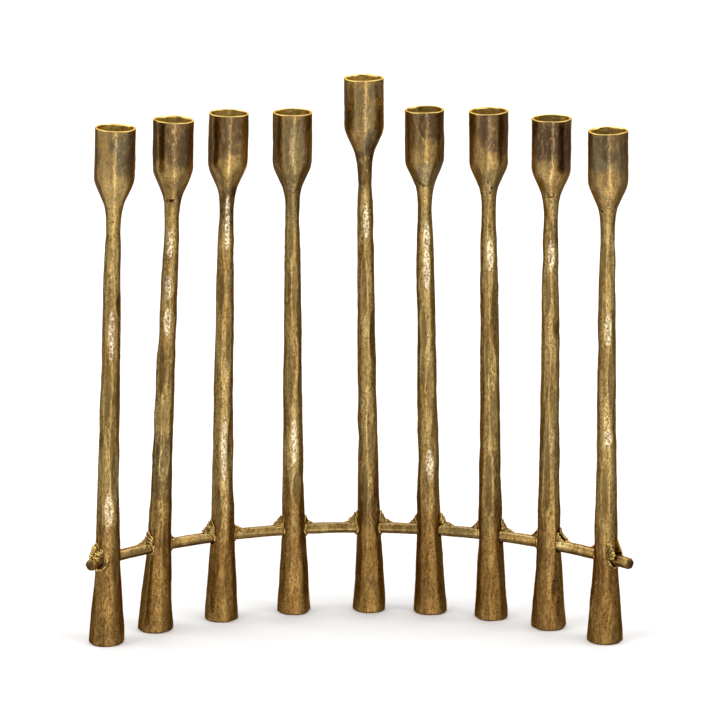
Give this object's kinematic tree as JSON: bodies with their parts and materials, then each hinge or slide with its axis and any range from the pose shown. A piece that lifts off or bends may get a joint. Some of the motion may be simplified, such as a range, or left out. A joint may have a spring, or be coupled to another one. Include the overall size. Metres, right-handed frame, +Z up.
{
  "type": "menorah",
  "caption": "Rustic brass menorah: a row of forged candlesticks on flared feet, joined by one arc-shaped rod brazed through their stems, with a taller helper light in the middle.",
  "frame": {"origin": "middle of the footprint, on the surface it stands on", "axes": "+Z up; X runs along the row of lights; +Y to the back, where the shamash stands, so the two ends of the arc come forward to -Y"},
  "size_m": [0.3748, 0.1022, 0.3816],
  "materials": {
    "stem_brass": "hammered, dark antique patina rubbed back to golden facets",
    "cup_brass": "dark brown patina with heat tints, polished bright at the rim and inside",
    "rod_brass": "cast facets, satin",
    "braze": "bright gold, lumpy"
  },
  "bodies": {
    "root": {"arc_rod": "rod_brass", "stem_1": "stem_brass", "cup_1": "cup_brass", "braze_1_left": "braze", "braze_1_right": "braze", "stem_2": "stem_brass", "cup_2": "cup_brass", "braze_2_left": "braze", "braze_2_right": "braze", "stem_3": "stem_brass", "cup_3": "cup_brass", "braze_3_left": "braze", "braze_3_right": "braze", "stem_4": "stem_brass", "cup_4": "cup_brass", "braze_4_left": "braze", "braze_4_right": "braze", "stem_shamash": "stem_brass", "cup_shamash": "cup_brass", "braze_shamash_left": "braze", "braze_shamash_right": "braze", "stem_5": "stem_brass", "cup_5": "cup_brass", "braze_5_left": "braze", "braze_5_right": "braze", "stem_6": "stem_brass", "cup_6": "cup_brass", "braze_6_left": "braze", "braze_6_right": "braze", "stem_7": "stem_brass", "cup_7": "cup_brass", "braze_7_left": "braze", "braze_7_right": "braze", "stem_8": "stem_brass", "cup_8": "cup_brass", "braze_8_left": "braze", "braze_8_right": "braze"}
  },
  "joints": []
}
